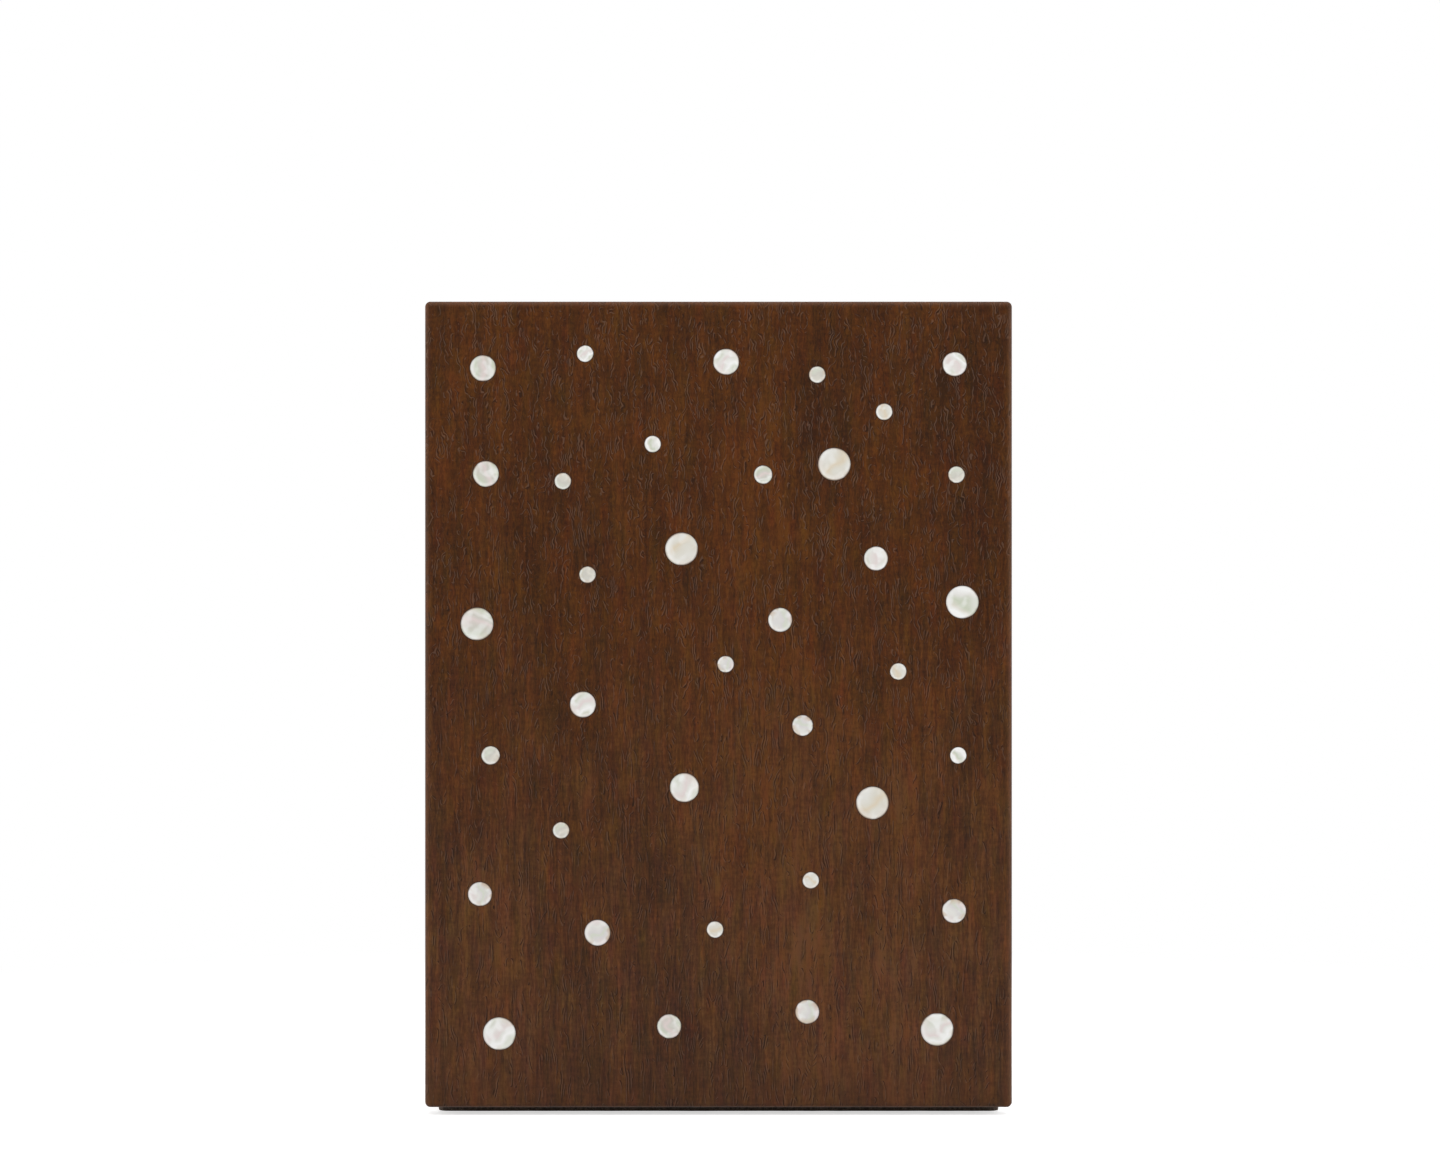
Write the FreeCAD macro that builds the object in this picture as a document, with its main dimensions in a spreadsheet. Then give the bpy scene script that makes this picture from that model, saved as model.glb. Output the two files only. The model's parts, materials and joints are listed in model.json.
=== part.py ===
import FreeCAD, Part
import Sketcher
import os

# An upright keepsake box: a mitred wooden case with a hinged front lid, inlaid with pearl discs.
# X runs to the right, Y to the back and Z up. The origin is under the middle of the box, on the floor.

doc = FreeCAD.newDocument("inlaid_box")

# Driving dimensions in millimetres
dimensions = {
    # lid
    "lid_width": 220,
    "lid_height": 302,
    "lid_thickness": 12,
    "lid_edge_round": 2,
    "lid_back_ease": 0.5,
    "lid_gap": 0.4,
    # case
    "case_depth": 138,
    "wall": 10,
    "case_edge_round": 1,
    "back_thickness": 5,
    "back_setback": 4,
    "groove_depth": 5,
    "groove_clearance": 0.15,
    # splines across the mitres
    "spline_width": 8,
    "spline_thickness": 2.4,
    "spline_from_inside": 4,
    "spline_setback": 12,
    "spline_clearance": 0.1,
    # felt
    "lining_thickness": 1,
    "lining_setback": 3,
    "lining_gap": 0.1,
    "pad_thickness": 3,
    "pad_inset": 0.4,
    "pad_corner_round": 4,
    # butt hinges
    "hinge_height": 36,
    "hinge_from_end": 52,
    "leaf_width": 8,
    "leaf_thickness": 1.4,
    "mortise_clearance": 0.1,
    "knuckle_diameter": 3.2,
    "knuckle_side_gap": 0.4,
    "knuckle_end_gap": 0.2,
    "pin_diameter": 1.6,
    "pin_clearance": 0.03,
    # countersunk screws
    "screw_from_leaf_end": 6,
    "screw_head_diameter": 3.4,
    "screw_shank_diameter": 1.8,
    "screw_length": 7,
    "screw_tip_length": 2,
    "screw_slot_width": 0.5,
    "screw_slot_depth": 0.5,
    "screw_clearance": 0.05,
    # magnets that hold the lid shut
    "magnet_diameter": 6,
    "magnet_thickness": 3,
    "magnet_from_end": 46,
    "magnet_clearance": 0.1,
    # pearl discs, by diameter
    "pearl_thickness": 1.6,
    "pearl_clearance": 0.25,
    "pearl_tiny": 6.1,
    "pearl_small": 6.8,
    "pearl_middle": 7.7,
    "pearl_medium": 8.9,
    "pearl_wide": 9.6,
    "pearl_big": 10.8,
    "pearl_large": 12.1,
}

# The scatter of discs over the lid: percent of the width from the left, percent of the height from below
pearl_scatter = [
    (9.9, 91.7, "pearl_wide"),
    (27.3, 93.5, "pearl_tiny"),
    (51.3, 92.5, "pearl_wide"),
    (66.8, 90.9, "pearl_tiny"),
    (90.2, 92.2, "pearl_medium"),
    (78.2, 86.3, "pearl_tiny"),
    (38.8, 82.3, "pearl_tiny"),
    (10.4, 78.6, "pearl_wide"),
    (23.5, 77.7, "pearl_tiny"),
    (57.6, 78.5, "pearl_small"),
    (69.7, 79.8, "pearl_large"),
    (90.5, 78.5, "pearl_tiny"),
    (43.7, 69.3, "pearl_large"),
    (76.8, 68.1, "pearl_medium"),
    (27.7, 66.1, "pearl_tiny"),
    (91.5, 62.7, "pearl_large"),
    (8.9, 60.0, "pearl_large"),
    (60.5, 60.5, "pearl_medium"),
    (51.2, 55.0, "pearl_tiny"),
    (80.6, 54.1, "pearl_tiny"),
    (26.9, 50.0, "pearl_wide"),
    (64.3, 47.4, "pearl_middle"),
    (11.2, 43.7, "pearl_small"),
    (90.8, 43.7, "pearl_tiny"),
    (44.2, 39.7, "pearl_big"),
    (76.2, 37.8, "pearl_large"),
    (23.2, 34.4, "pearl_tiny"),
    (65.7, 28.2, "pearl_tiny"),
    (9.4, 26.5, "pearl_medium"),
    (90.1, 24.4, "pearl_medium"),
    (29.4, 21.7, "pearl_wide"),
    (49.4, 22.1, "pearl_tiny"),
    (65.1, 11.9, "pearl_medium"),
    (41.6, 10.1, "pearl_medium"),
    (87.2, 9.7, "pearl_large"),
    (12.7, 9.2, "pearl_large"),
]

knuckle_count = 5
screw_offsets = (-1, 0, 1)
screw_turn_step = 40

sizes = doc.addObject("Spreadsheet::Sheet", "sizes")
for row, (alias, millimetres) in enumerate(dimensions.items(), start=1):
    sizes.set(f"A{row}", alias)
    sizes.set(f"B{row}", str(millimetres))
    sizes.setAlias(f"B{row}", alias)
doc.recompute()

# Places worked out from the driving dimensions
# The lid overhangs the case by the hinge barrel, so the barrel hides behind the lid's left edge
overhang = "(sizes.knuckle_diameter + sizes.knuckle_side_gap)"
knuckle_radius = "(sizes.knuckle_diameter / 2)"
lid_left = "(-sizes.lid_width / 2)"
lid_right = "(sizes.lid_width / 2)"
lid_bottom = "sizes.pad_thickness"
lid_top = f"({lid_bottom} + sizes.lid_height)"
lid_front = "(-(sizes.lid_thickness + sizes.lid_gap + sizes.case_depth) / 2)"
lid_back = f"({lid_front} + sizes.lid_thickness)"
case_left = f"({lid_left} + {overhang})"
case_right = f"({lid_right} - {overhang})"
case_bottom = lid_bottom
case_top = f"({lid_top} - {overhang})"
case_front = f"({lid_back} + sizes.lid_gap)"
case_back = f"({case_front} + sizes.case_depth)"
inner_left = f"({case_left} + sizes.wall)"
inner_right = f"({case_right} - sizes.wall)"
inner_bottom = f"({case_bottom} + sizes.wall)"
inner_top = f"({case_top} - sizes.wall)"
back_rear = f"({case_back} - sizes.back_setback)"
back_front = f"({back_rear} - sizes.back_thickness)"
hinge_x = f"({case_left} - sizes.knuckle_side_gap - {knuckle_radius})"
hinge_y = f"({lid_back} + sizes.lid_gap / 2)"
hinge_centres = {
    "lower": f"({lid_bottom} + sizes.hinge_from_end)",
    "upper": f"({lid_top} - sizes.hinge_from_end)",
}
barrel_reach = f"max({knuckle_radius}; sizes.lid_gap / 2 + sizes.leaf_thickness)"
barrel_groove_depth = f"({barrel_reach} + sizes.knuckle_side_gap - sizes.lid_gap / 2)"
screw_x = f"({case_left} + sizes.leaf_width / 2)"
screw_spacing = "(sizes.hinge_height / 2 - sizes.screw_from_leaf_end)"
magnet_x = f"({case_right} - sizes.wall / 2)"
magnet_heights = (
    f"({lid_bottom} + sizes.magnet_from_end)",
    f"({lid_top} - sizes.magnet_from_end)",
)
along_y = FreeCAD.Rotation(FreeCAD.Vector(1, 0, 0), -90)


def value_of(expression):
    return float(sizes.evalExpression(expression))


def make_box(label, x_range, y_range, z_range):
    block = doc.addObject("Part::Box", label)
    sides = (("Length", "x", x_range), ("Width", "y", y_range), ("Height", "z", z_range))
    for side, axis, (low, high) in sides:
        block.setExpression(side, f"{high} - {low}")
        block.setExpression(f".Placement.Base.{axis}", low)
    return block


def make_rod(label, radius, length, place, rotation=FreeCAD.Rotation()):
    rod = doc.addObject("Part::Cylinder", label)
    rod.Placement = FreeCAD.Placement(FreeCAD.Vector(), rotation)
    rod.setExpression("Radius", radius)
    rod.setExpression("Height", length)
    set_place(rod, place)
    return rod


def set_place(item, place):
    for axis, expression in zip("xyz", place):
        item.setExpression(f".Placement.Base.{axis}", expression)


def make_group(label, members):
    group = doc.addObject("Part::Compound", label)
    group.Links = members
    return group


def make_fuse(label, members):
    fuse = doc.addObject("Part::MultiFuse", label)
    fuse.Shapes = members
    return fuse


def make_cut(label, base, tool):
    cut = doc.addObject("Part::Cut", label)
    cut.Base = base
    cut.Tool = tool
    return cut


def origin_feature(body, role):
    for feature in body.Origin.OriginFeatures:
        if feature.Role == role:
            return feature
    raise LookupError(role)


def make_sketch(body, name, role, height="0"):
    sketch = body.newObject("Sketcher::SketchObject", name)
    sketch.AttachmentSupport = [(origin_feature(body, role), "")]
    sketch.MapMode = "FlatFace"
    sketch.setExpression("AttachmentOffset.Base.z", height)
    return sketch


def pin_point(sketch, geometry, point, across, up):
    for kind, expression in (("DistanceX", across), ("DistanceY", up)):
        place = sketch.addConstraint(
            Sketcher.Constraint(kind, -1, 1, geometry, point, value_of(expression)))
        sketch.setExpression(f"Constraints[{place}]", expression)


def draw_polygon(sketch, corners):
    points = [FreeCAD.Vector(value_of(across), value_of(up), 0) for across, up in corners]
    first = sketch.GeometryCount
    count = len(points)
    for index, point in enumerate(points):
        sketch.addGeometry(Part.LineSegment(point, points[(index + 1) % count]))
    for index in range(count):
        following = first + (index + 1) % count
        sketch.addConstraint(Sketcher.Constraint("Coincident", first + index, 2, following, 1))
    for index, (across, up) in enumerate(corners):
        pin_point(sketch, first + index, 1, across, up)


def draw_rectangle(sketch, x_range, z_range):
    left, right = x_range
    bottom, top = z_range
    draw_polygon(sketch, [(left, bottom), (right, bottom), (right, top), (left, top)])


def draw_circle(sketch, across, up, radius):
    centre = FreeCAD.Vector(value_of(across), value_of(up), 0)
    circle = sketch.addGeometry(
        Part.Circle(centre, FreeCAD.Vector(0, 0, 1), value_of(radius)))
    pin_point(sketch, circle, 3, across, up)
    size = sketch.addConstraint(Sketcher.Constraint("Radius", circle, value_of(radius)))
    sketch.setExpression(f"Constraints[{size}]", radius)


# A board or stick with the given outline, seen from the front, that runs back from one Y to another
def make_prism(label, corners, y_range):
    front, back = y_range
    body = doc.addObject("PartDesign::Body", label)
    outline = make_sketch(body, f"{label}_outline", "XZ_Plane", f"-{front}")
    draw_polygon(outline, corners)
    pad = body.newObject("PartDesign::Pad", f"{label}_pad")
    pad.Profile = outline
    pad.Reversed = True
    pad.setExpression("Length", f"{back} - {front}")
    doc.recompute()
    return body


pockets = []


# A pocket from the face at the given Y, cut backwards or, from a rear face, forwards
def cut_pocket(body, name, y_face, depth, draw, forwards=False):
    sketch = make_sketch(body, f"{name}_sketch", "XZ_Plane", f"-{y_face}")
    draw(sketch)
    pocket = body.newObject("PartDesign::Pocket", name)
    pocket.Profile = sketch
    pocket.Reversed = forwards
    pocket.setExpression("Length", depth)
    doc.recompute()
    pockets.append(pocket)


def ease_edges(body, kind, name, size_name, amount, chosen):
    base = body.Tip
    names = [f"Edge{index}" for index, edge in enumerate(base.Shape.Edges, start=1) if chosen(edge)]
    ease = body.newObject(f"PartDesign::{kind}", name)
    ease.Base = (base, names)
    ease.setExpression(size_name, amount)
    doc.recompute()


def edge_at(edge, y_face):
    return all(abs(vertex.Y - value_of(y_face)) < 1e-6 for vertex in edge.Vertexes)


def edge_runs_back(edge):
    low, high = edge.Vertexes[0].Point, edge.Vertexes[-1].Point
    return abs(high.y - low.y) > edge.Length / 2


# Turned profile of a countersunk screw, head at the origin and point towards the back.
# Grown by its clearance, the same profile is the hole that the screw sits in.
def make_screw(label, growth):
    head_radius = f"sizes.screw_head_diameter / 2 + {growth}"
    shank_radius = f"sizes.screw_shank_diameter / 2 + {growth}"
    head_depth = "(sizes.screw_head_diameter - sizes.screw_shank_diameter) / 2"
    full_length = f"sizes.screw_length + {growth}"
    body = doc.addObject("PartDesign::Body", label)
    profile = make_sketch(body, f"{label}_profile", "XY_Plane")
    draw_polygon(profile, [
        ("0", "0"),
        (head_radius, "0"),
        (shank_radius, head_depth),
        (shank_radius, f"{full_length} - sizes.screw_tip_length"),
        ("0", full_length),
    ])
    turned = body.newObject("PartDesign::Revolution", f"{label}_turned")
    turned.Profile = profile
    turned.ReferenceAxis = (profile, ["V_Axis"])
    turned.Angle = 360
    doc.recompute()
    return body


def link_screws(label, screw, y_face, facing):
    links = []
    for hinge, centre in hinge_centres.items():
        for step in screw_offsets:
            link = doc.addObject("App::Link", f"{label}_{hinge}_{step + 2}")
            link.LinkedObject = screw
            spin = FreeCAD.Rotation(FreeCAD.Vector(0, 1, 0), screw_turn_step * len(links))
            link.Placement = FreeCAD.Placement(FreeCAD.Vector(), facing * spin)
            set_place(link, (screw_x, y_face, f"{centre} + {step} * {screw_spacing}"))
            links.append(link)
    return make_group(label, links)


# Screws: their heads lie flush in the leaves, which lie flush in the case's front and the lid's rear
into_case = FreeCAD.Rotation()
into_lid = FreeCAD.Rotation(FreeCAD.Vector(0, 0, 1), 180)
case_leaf_y = (case_front, f"({case_front} + sizes.leaf_thickness)")
lid_leaf_y = (f"({lid_back} - sizes.leaf_thickness)", lid_back)

screw = make_screw("hinge_screw", "0")
cut_pocket(
    screw, "screw_slot", "0", "sizes.screw_slot_depth",
    lambda sketch: draw_rectangle(
        sketch,
        ("-sizes.screw_head_diameter", "sizes.screw_head_diameter"),
        ("-sizes.screw_slot_width / 2", "sizes.screw_slot_width / 2")))
screw_hole = make_screw("screw_hole", "sizes.screw_clearance")
hinge_case_screws = link_screws("hinge_case_screws", screw, case_front, into_case)
hinge_lid_screws = link_screws("hinge_lid_screws", screw, lid_back, into_lid)
case_screw_holes = link_screws("case_screw_holes", screw_hole, case_front, into_case)
lid_screw_holes = link_screws("lid_screw_holes", screw_hole, lid_back, into_lid)


# Hinges: a plate in the wood, and every other knuckle of the barrel
def make_leaf(label, centre, y_range, knuckles, screw_holes):
    hinge_low = f"({centre} - sizes.hinge_height / 2)"
    plate_right = f"({case_left} + sizes.leaf_width)"
    plate = make_box(
        f"{label}_plate", (case_left, plate_right), y_range,
        (hinge_low, f"({hinge_low} + sizes.hinge_height)"))
    members = [plate]
    for knuckle in knuckles:
        low = f"({hinge_low} + {knuckle} / {knuckle_count} * sizes.hinge_height + sizes.knuckle_end_gap / 2)"
        length = f"(sizes.hinge_height / {knuckle_count} - sizes.knuckle_end_gap)"
        members.append(make_rod(
            f"{label}_knuckle_{knuckle + 1}", knuckle_radius, length, (hinge_x, hinge_y, low)))
        members.append(make_box(
            f"{label}_wrap_{knuckle + 1}", (hinge_x, plate_right), y_range, (low, f"({low} + {length})")))
    bore = make_rod(
        f"{label}_bore", "sizes.pin_diameter / 2 + sizes.pin_clearance", "sizes.hinge_height",
        (hinge_x, hinge_y, hinge_low))
    holes = make_group(f"{label}_holes", [bore, screw_holes])
    return make_cut(label, make_fuse(f"{label}_blank", members), holes)


hinge_nodes = []
for hinge, centre in hinge_centres.items():
    case_leaf = make_leaf(
        f"{hinge}_hinge_case_leaf", centre, case_leaf_y,
        range(0, knuckle_count, 2), case_screw_holes)
    lid_leaf = make_leaf(
        f"{hinge}_hinge_lid_leaf", centre, lid_leaf_y,
        range(1, knuckle_count, 2), lid_screw_holes)
    pin = make_rod(
        f"{hinge}_hinge_pin", "sizes.pin_diameter / 2", "sizes.hinge_height",
        (hinge_x, hinge_y, f"{centre} - sizes.hinge_height / 2"))
    hinge_nodes += [case_leaf, lid_leaf, pin]


def draw_hinge_cuts(sketch, x_range):
    for centre in hinge_centres.values():
        half = "(sizes.hinge_height / 2 + sizes.mortise_clearance)"
        draw_rectangle(sketch, x_range, (f"{centre} - {half}", f"{centre} + {half}"))


def draw_leaf_mortises(sketch):
    draw_hinge_cuts(sketch, (case_left, f"{case_left} + sizes.leaf_width + sizes.mortise_clearance"))


def draw_barrel_grooves(sketch):
    draw_hinge_cuts(sketch, (lid_left, case_left))


def draw_magnet_pockets(sketch):
    for height in magnet_heights:
        draw_circle(sketch, magnet_x, height, "sizes.magnet_diameter / 2 + sizes.magnet_clearance")


# Magnets: one pair in the case's right side, one pair behind the lid
def make_magnets(label, y_face):
    magnets = []
    for height in magnet_heights:
        magnets.append(make_rod(
            f"{label}_{len(magnets) + 1}", "sizes.magnet_diameter / 2", "sizes.magnet_thickness",
            (magnet_x, y_face, height), along_y))
    return make_group(label, magnets)


case_magnets = make_magnets("case_magnets", case_front)
lid_magnets = make_magnets("lid_magnets", f"{lid_back} - sizes.magnet_thickness")


# Splines: a stick across each mitre, in a slot that stops short of both edges
spline_y = (f"({case_front} + sizes.spline_setback)", f"({back_front} - sizes.spline_setback)")
slot_y = (
    f"({spline_y[0]} - sizes.spline_clearance)",
    f"({spline_y[1]} + sizes.spline_clearance)",
)


def spline_corners(side, level, growth):
    corner_x = inner_right if side > 0 else inner_left
    corner_z = inner_top if level > 0 else inner_bottom
    reach = f"(sizes.spline_width / 2 + {growth}) / sqrt(2)"
    half = f"(sizes.spline_thickness / 2 + {growth}) / sqrt(2)"
    corners = []
    for along, through in ((1, 1), (1, -1), (-1, -1), (-1, 1)):
        across = f"(sizes.spline_from_inside + {along} * {reach} + {through} * {half})"
        up = f"(sizes.spline_from_inside - {along} * {reach} + {through} * {half})"
        corners.append((f"{corner_x} + {side} * {across}", f"{corner_z} + {level} * {up}"))
    return corners


splines = []
spline_slots = []
for side in (-1, 1):
    for level in (-1, 1):
        number = len(splines) + 1
        splines.append(make_prism(f"spline_{number}", spline_corners(side, level, "0"), spline_y))
        spline_slots.append(make_prism(
            f"spline_slot_{number}", spline_corners(side, level, "sizes.spline_clearance"), slot_y))
mitre_splines = make_group("mitre_splines", splines)

# Back panel and the groove that holds it on all four sides
back_panel = make_box(
    "back_panel",
    (f"({inner_left} - sizes.groove_depth + sizes.groove_clearance)",
     f"({inner_right} + sizes.groove_depth - sizes.groove_clearance)"),
    (back_front, back_rear),
    (f"({inner_bottom} - sizes.groove_depth + sizes.groove_clearance)",
     f"({inner_top} + sizes.groove_depth - sizes.groove_clearance)"))
back_groove = make_box(
    "back_groove",
    (f"({inner_left} - sizes.groove_depth)", f"({inner_right} + sizes.groove_depth)"),
    (f"({back_front} - sizes.groove_clearance)", f"({back_rear} + sizes.groove_clearance)"),
    (f"({inner_bottom} - sizes.groove_depth)", f"({inner_top} + sizes.groove_depth)"))

# Case: four boards mitred at the corners, with their outer and rear edges rounded as one
case_outline = [
    (case_left, case_bottom), (case_right, case_bottom), (case_right, case_top), (case_left, case_top)]
case_envelope = make_prism("case_envelope", case_outline, (case_front, case_back))
ease_edges(
    case_envelope, "Fillet", "case_rounding", "Radius", "sizes.case_edge_round",
    lambda edge: edge_runs_back(edge) or edge_at(edge, case_back))
case_cutters = make_group("case_cutters", [back_groove, case_screw_holes] + spline_slots)
board_outlines = {
    "bottom_panel": [
        (case_left, case_bottom), (case_right, case_bottom),
        (inner_right, inner_bottom), (inner_left, inner_bottom)],
    "right_side": [
        (case_right, case_bottom), (case_right, case_top),
        (inner_right, inner_top), (inner_right, inner_bottom)],
    "top_panel": [
        (case_right, case_top), (case_left, case_top),
        (inner_left, inner_top), (inner_right, inner_top)],
    "left_side": [
        (case_left, case_top), (case_left, case_bottom),
        (inner_left, inner_bottom), (inner_left, inner_top)],
}
case_boards = []
for label, corners in board_outlines.items():
    board = make_prism(f"{label}_board", corners, (case_front, case_back))
    if label == "left_side":
        cut_pocket(board, "case_mortises", case_front, "sizes.leaf_thickness", draw_leaf_mortises)
    if label == "right_side":
        cut_pocket(
            board, "case_magnet_pockets", case_front, "sizes.magnet_thickness", draw_magnet_pockets)
    rounded = doc.addObject("Part::Common", label)
    rounded.Base = make_cut(f"{label}_cut", board, case_cutters)
    rounded.Tool = case_envelope
    case_boards.append(rounded)


# Pearl discs and the flat-bottomed pockets that they are glued into
def pearl_place(across, up):
    x = f"({lid_left} + {across} / 100 * sizes.lid_width)"
    z = f"({lid_bottom} + {up} / 100 * sizes.lid_height)"
    return x, z


def draw_pearl_pockets(sketch):
    for across, up, diameter in pearl_scatter:
        x, z = pearl_place(across, up)
        draw_circle(sketch, x, z, f"sizes.{diameter} / 2 + sizes.pearl_clearance")


pearl_discs = []
for number, (across, up, diameter) in enumerate(pearl_scatter, start=1):
    x, z = pearl_place(across, up)
    pearl_discs.append(make_rod(
        f"pearl_disc_{number:02d}", f"sizes.{diameter} / 2", "sizes.pearl_thickness",
        (x, lid_front, z), along_y))

# Lid: one board, rounded at the front, with the hinges and magnets let into its rear face
lid_board = make_prism(
    "lid_board",
    [(lid_left, lid_bottom), (lid_right, lid_bottom), (lid_right, lid_top), (lid_left, lid_top)],
    (lid_front, lid_back))
ease_edges(
    lid_board, "Fillet", "lid_rounding", "Radius", "sizes.lid_edge_round",
    lambda edge: edge_runs_back(edge) or edge_at(edge, lid_front))
ease_edges(
    lid_board, "Chamfer", "lid_easing", "Size", "sizes.lid_back_ease",
    lambda edge: edge_at(edge, lid_back))
cut_pocket(lid_board, "pearl_pockets", lid_front, "sizes.pearl_thickness", draw_pearl_pockets)
cut_pocket(
    lid_board, "lid_mortises", lid_back, "sizes.leaf_thickness", draw_leaf_mortises, forwards=True)
cut_pocket(lid_board, "barrel_grooves", lid_back, barrel_groove_depth, draw_barrel_grooves, forwards=True)
cut_pocket(
    lid_board, "lid_magnet_pockets", lid_back, "sizes.magnet_thickness", draw_magnet_pockets,
    forwards=True)
lid_panel = make_cut("lid_panel", lid_board, lid_screw_holes)

# Felt lining on the five inner faces, set back from the front edge
lining_front = f"({case_front} + sizes.lining_setback)"
lining_back = f"({back_front} - sizes.lining_thickness - sizes.lining_gap)"
lining_floor = f"({inner_bottom} + sizes.lining_thickness)"
lining_ceiling = f"({inner_top} - sizes.lining_thickness)"
side_lining_z = (f"({lining_floor} + sizes.lining_gap)", f"({lining_ceiling} - sizes.lining_gap)")
inner_x = (inner_left, inner_right)
lining_y = (lining_front, lining_back)
linings = [
    make_box(
        "back_lining", inner_x, (f"({back_front} - sizes.lining_thickness)", back_front),
        (inner_bottom, inner_top)),
    make_box("bottom_lining", inner_x, lining_y, (inner_bottom, lining_floor)),
    make_box("top_lining", inner_x, lining_y, (lining_ceiling, inner_top)),
    make_box(
        "left_lining", (inner_left, f"({inner_left} + sizes.lining_thickness)"), lining_y, side_lining_z),
    make_box(
        "right_lining", (f"({inner_right} - sizes.lining_thickness)", inner_right), lining_y,
        side_lining_z),
]

# Felt pad under the case, a little smaller than it all round
base_pad = doc.addObject("PartDesign::Body", "base_pad")
pad_outline = make_sketch(base_pad, "pad_outline", "XY_Plane")
draw_rectangle(
    pad_outline,
    (f"{case_left} + sizes.pad_inset", f"{case_right} - sizes.pad_inset"),
    (f"{case_front} + sizes.pad_inset", f"{case_back} - sizes.pad_inset"))
pad_sheet = base_pad.newObject("PartDesign::Pad", "pad_sheet")
pad_sheet.Profile = pad_outline
pad_sheet.setExpression("Length", "sizes.pad_thickness")
doc.recompute()
ease_edges(
    base_pad, "Fillet", "pad_corners", "Radius", "sizes.pad_corner_round",
    lambda edge: abs(edge.Vertexes[0].Z - edge.Vertexes[-1].Z) > edge.Length / 2)

doc.recompute()

nodes = (
    case_boards + [back_panel, mitre_splines, lid_panel] + pearl_discs + hinge_nodes
    + [hinge_case_screws, hinge_lid_screws, case_magnets, lid_magnets] + linings + [base_pad])

for item in doc.Objects:
    if "Invalid" in item.State or "Error" in item.State:
        raise RuntimeError(f"{item.Label} failed: {item.State}")
for pocket in pockets:
    if pocket.Shape.Volume >= pocket.BaseFeature.Shape.Volume:
        raise RuntimeError(f"{pocket.Label} cuts nothing")
for node in nodes:
    if node.Shape.isNull() or not node.Shape.isValid() or not node.Shape.Solids:
        raise RuntimeError(f"{node.Label} is not a sound solid")

os.makedirs("parts", exist_ok=True)
for node in nodes:
    node.Shape.exportStep(f"parts/{node.Label}.step")
print(f"{len(nodes)} parts written")
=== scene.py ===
import bpy
import json
import math
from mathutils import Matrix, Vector

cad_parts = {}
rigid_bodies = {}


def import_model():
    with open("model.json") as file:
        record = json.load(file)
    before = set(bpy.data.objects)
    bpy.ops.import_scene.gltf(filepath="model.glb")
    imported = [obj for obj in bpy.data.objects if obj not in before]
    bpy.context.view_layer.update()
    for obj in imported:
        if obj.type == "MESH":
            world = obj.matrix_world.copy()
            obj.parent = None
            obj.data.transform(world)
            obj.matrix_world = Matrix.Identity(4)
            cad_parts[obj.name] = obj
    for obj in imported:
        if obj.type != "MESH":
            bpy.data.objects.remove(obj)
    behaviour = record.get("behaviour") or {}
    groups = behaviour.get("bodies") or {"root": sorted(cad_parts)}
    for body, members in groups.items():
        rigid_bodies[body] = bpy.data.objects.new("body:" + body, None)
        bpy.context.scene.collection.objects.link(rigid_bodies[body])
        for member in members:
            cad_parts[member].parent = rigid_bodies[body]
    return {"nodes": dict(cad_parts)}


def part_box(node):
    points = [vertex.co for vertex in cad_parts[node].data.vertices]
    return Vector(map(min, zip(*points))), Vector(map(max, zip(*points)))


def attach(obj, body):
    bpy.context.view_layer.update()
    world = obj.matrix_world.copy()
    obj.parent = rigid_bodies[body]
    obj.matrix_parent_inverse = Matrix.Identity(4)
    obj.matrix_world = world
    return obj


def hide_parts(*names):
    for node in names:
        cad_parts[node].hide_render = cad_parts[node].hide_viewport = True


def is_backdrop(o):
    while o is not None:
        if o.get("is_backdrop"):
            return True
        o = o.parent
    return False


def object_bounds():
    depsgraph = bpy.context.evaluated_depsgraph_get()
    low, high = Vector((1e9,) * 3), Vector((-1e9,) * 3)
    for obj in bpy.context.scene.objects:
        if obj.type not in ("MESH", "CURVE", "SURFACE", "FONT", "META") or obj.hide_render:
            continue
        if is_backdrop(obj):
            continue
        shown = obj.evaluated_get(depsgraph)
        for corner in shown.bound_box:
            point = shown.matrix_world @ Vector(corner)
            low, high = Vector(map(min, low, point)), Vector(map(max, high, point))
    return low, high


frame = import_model()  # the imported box: bodies "case" and "lid"
cadLow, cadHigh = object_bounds()
nodes = frame["nodes"]
millimetre = 0.001
quarter = math.pi / 2
bpy.context.scene.view_settings.view_transform = "Standard"
print("frame loaded,", len(nodes), "nodes")


# Shader graphs

def paint(red, green, blue):  # screen colour, 0 to 255, to linear
    linear = []
    for part in (red, green, blue):
        share = part / 255
        linear.append(share / 12.92 if share <= 0.04045 else ((share + 0.055) / 1.055) ** 2.4)
    return (*linear, 1.0)


def grey(level):
    return (level, level, level, 1.0)


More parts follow.
